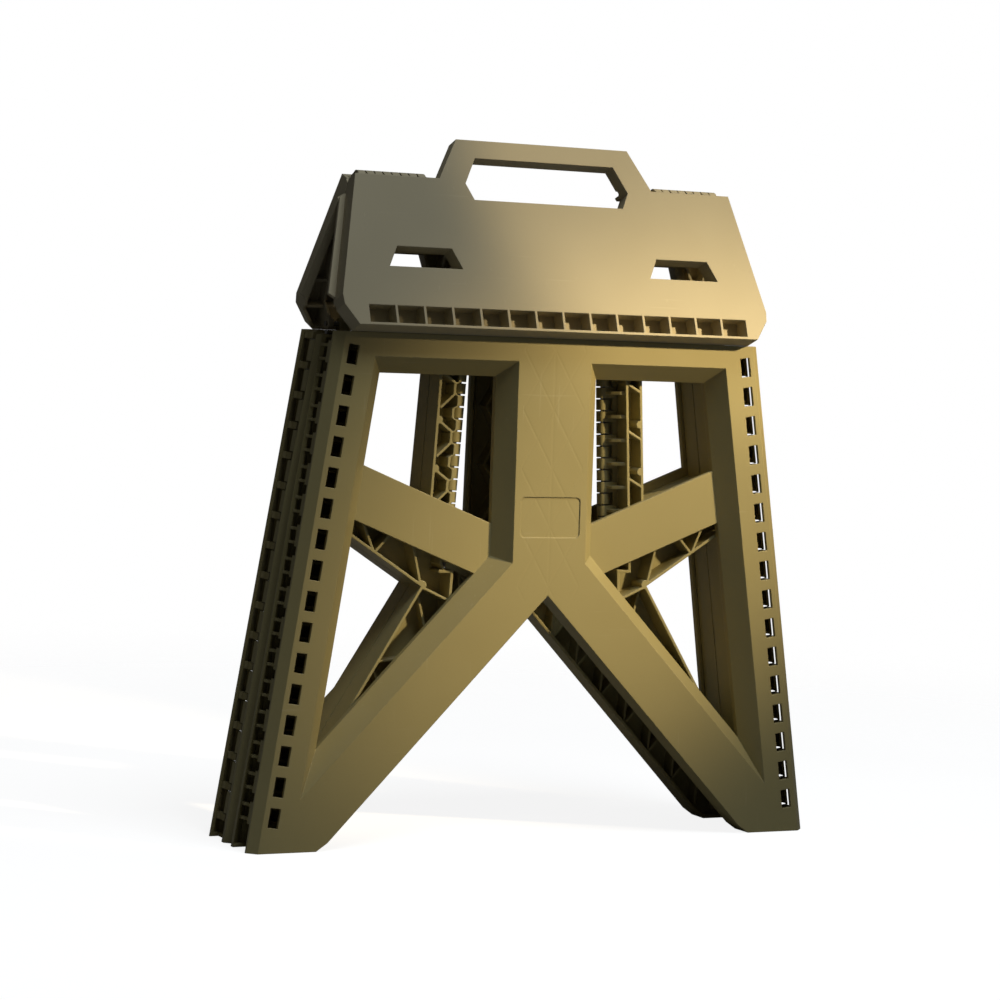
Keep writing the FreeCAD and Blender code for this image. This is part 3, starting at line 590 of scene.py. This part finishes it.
@dataclass
class Studio:
    """Pale floor, soft lamps and the camera."""

    lamps: Tuple[Lamp, ...] = (
        Lamp("key", "SPOT", KEY_PLACE, (0.03, 0.0, 0.20), 180.0, WARM, 0.05, cone=12.8),
        Lamp("seat_key", "SPOT", KEY_PLACE, (0.20, 0.0, 0.485), 84.0, WARM, 0.02, cone=14.5,
             soft_edge=0.35),
        Lamp("fill", "AREA", (0.2, -0.9, 2.2), (0.0, 0.0, 0.25), 19.0, COOL, 0.8),
    )
    sky: Colour = (0.95, 0.97, 1.0)
    sky_strength: float = 0.05
    floor_radius: float = 9.0
    floor_gap: float = 0.0002
    lens: float = 107.96
    camera_place: Point = (-0.90714, -1.79439, 0.33902)
    pan: float = 0.459
    tilt: float = 0.057
    roll: float = 0.04

    def floor(self) -> bpy.types.Object:
        """Round pale floor under the feet.

        Returns:
            The floor object.
        """
        mesh = bpy.data.meshes.new("floor")
        rings = bmesh.new()
        bmesh.ops.create_circle(rings, cap_ends=True, segments=96, radius=self.floor_radius)
        rings.to_mesh(mesh)
        rings.free()
        floor = bpy.data.objects.new("floor", mesh)
        bpy.context.scene.collection.objects.link(floor)
        floor.location.z = cad_box[0].z - self.floor_gap
        mesh.materials.append(PaleFloor().build())
        return floor

    def backdrop(self) -> None:
        """White backdrop that lights the stool only gently."""
        world = bpy.data.worlds.new("studio")
        world.use_nodes = True
        b = Bench(world.node_tree)
        seen = b.add("Background")
        b.put(seen.inputs["Color"], (1.0, 1.0, 1.0, 1.0))
        soft = b.add("Background")
        b.put(soft.inputs["Color"], (*self.sky, 1.0))
        b.put(soft.inputs["Strength"], self.sky_strength)
        path = b.add("LightPath")
        mix = b.add("MixShader")
        b.put(mix.inputs["Fac"], path.outputs["Is Camera Ray"])
        b.put(mix.inputs[1], soft.outputs["Background"])
        b.put(mix.inputs[2], seen.outputs["Background"])
        b.put(b.add("OutputWorld").inputs["Surface"], mix.outputs["Shader"])
        bpy.context.scene.world = world

    def camera(self) -> bpy.types.Object:
        """Camera at the left front, slightly above the seat hinge.

        Returns:
            The camera object.
        """
        data = bpy.data.cameras.new("camera")
        data.lens = self.lens
        data.sensor_width = 36.0
        data.clip_end = 50.0
        turn = (Matrix.Rotation(self.roll, 3, "Y") @ Matrix.Rotation(self.tilt, 3, "X")
                @ Matrix.Rotation(self.pan, 3, "Z"))
        right, ahead, up = turn[0], turn[1], turn[2]
        axes = Matrix((right, up, -ahead)).transposed().to_4x4()
        camera = bpy.data.objects.new("camera", data)
        camera.matrix_world = Matrix.Translation(self.camera_place) @ axes
        bpy.context.scene.collection.objects.link(camera)
        bpy.context.scene.camera = camera
        return camera

    def build(self) -> None:
        """Set up everything round the stool."""
        self.floor()
        for lamp in self.lamps:
            lamp.hang()
            log.info("lamp %s: %s, %.0f W", lamp.name, lamp.kind, lamp.power)
        self.backdrop()
        self.camera()
        bpy.context.scene.view_settings.view_transform = "Standard"


# --------------------------------------------------------------------- main


def main() -> None:
    """Dress the stool and set the studio."""
    logging.basicConfig(level=logging.INFO, format="%(message)s")
    SurfaceEffects().make_all()
    mouldings = (
        Moulding(Shell.LEG, ("front_leg_panel", "rear_leg_panel"),
                 MouldedPlastic("leg_tan_plastic", (0.345, 0.292, 0.130), (0.300, 0.250, 0.104),
                                (0.47, 0.41, 0.25), sink_depth=0.00005)),
        Moulding(Shell.SIDE, ("front_left_side_half", "front_right_side_half",
                              "rear_left_side_half", "rear_right_side_half"),
                 MouldedPlastic("side_tan_plastic", (0.335, 0.288, 0.130), (0.290, 0.248, 0.104),
                                (0.45, 0.40, 0.25))),
        # The seat plastic is painted lighter and greyer than the leg plastic: painted light from the
        # lamps and room falling on the upward-tilted seat.
        Moulding(Shell.SEAT, ("front_seat_half", "rear_seat_half"),
                 MouldedPlastic("seat_tan_plastic_painted_light", (0.420, 0.365, 0.234), (0.380, 0.326, 0.200),
                                (0.54, 0.48, 0.32), roughness=0.56, specular=0.25)),
    )
    for moulding in mouldings:
        moulding.dress()
    pins = tuple(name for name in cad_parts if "_pin_" in name)
    HingePins(pins, DrawnSteel()).dress()
    Studio().build()


if __name__ == "__main__":
    main()
